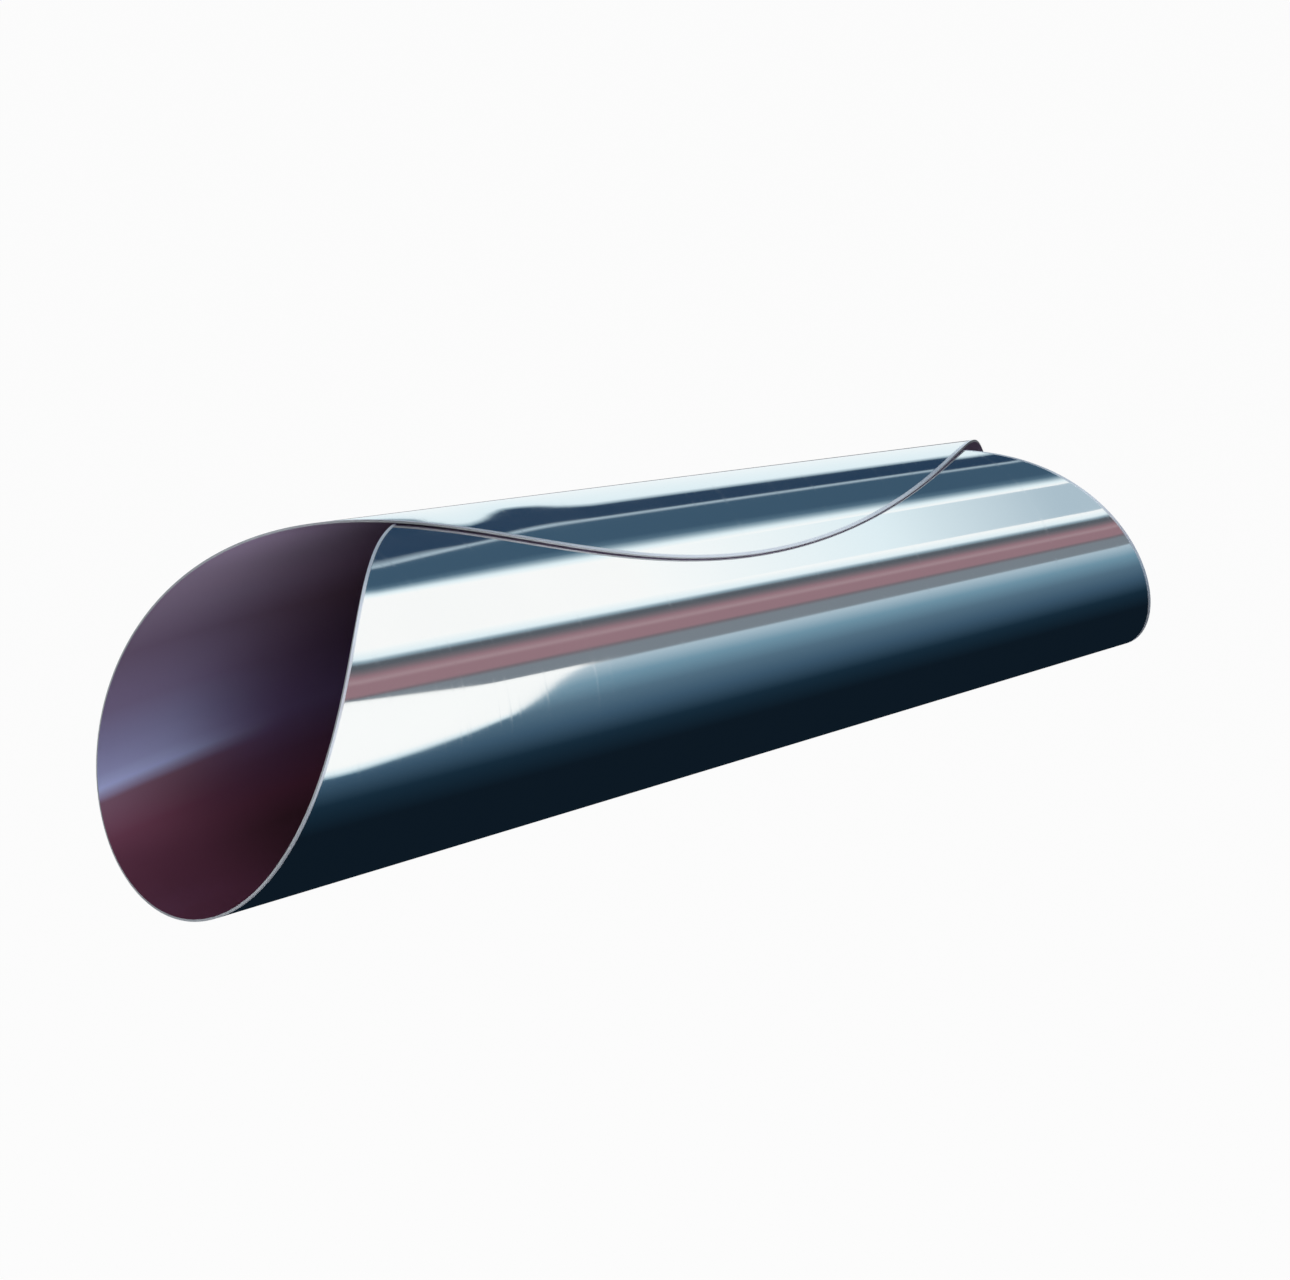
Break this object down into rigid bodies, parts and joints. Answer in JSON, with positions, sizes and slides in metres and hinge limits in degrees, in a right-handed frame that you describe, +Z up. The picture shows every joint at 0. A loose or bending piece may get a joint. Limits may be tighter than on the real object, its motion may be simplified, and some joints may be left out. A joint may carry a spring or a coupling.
{
  "type": "drip stop wine pourer",
  "caption": "Disc of thin springy film rolled into a tapered spout with lapped flaps, to push into a bottle's neck; its sharp round lip cuts off the last drop.",
  "frame": {"origin": "centre of the roll in the plane of the bottle's lip, where the neck holds it", "axes": "+Y along the roll's axis into the bottle, the open mouth at -Y, +Z up with the long tip at the bottom, -X towards the flap that laps outside"},
  "size_m": [0.0234, 0.0749, 0.0229],
  "materials": {
    "metallised_film": "mirror bright metallised film outside, dark aubergine inside"
  },
  "bodies": {
    "root": {"rolled_disc": "metallised_film"}
  },
  "joints": []
}
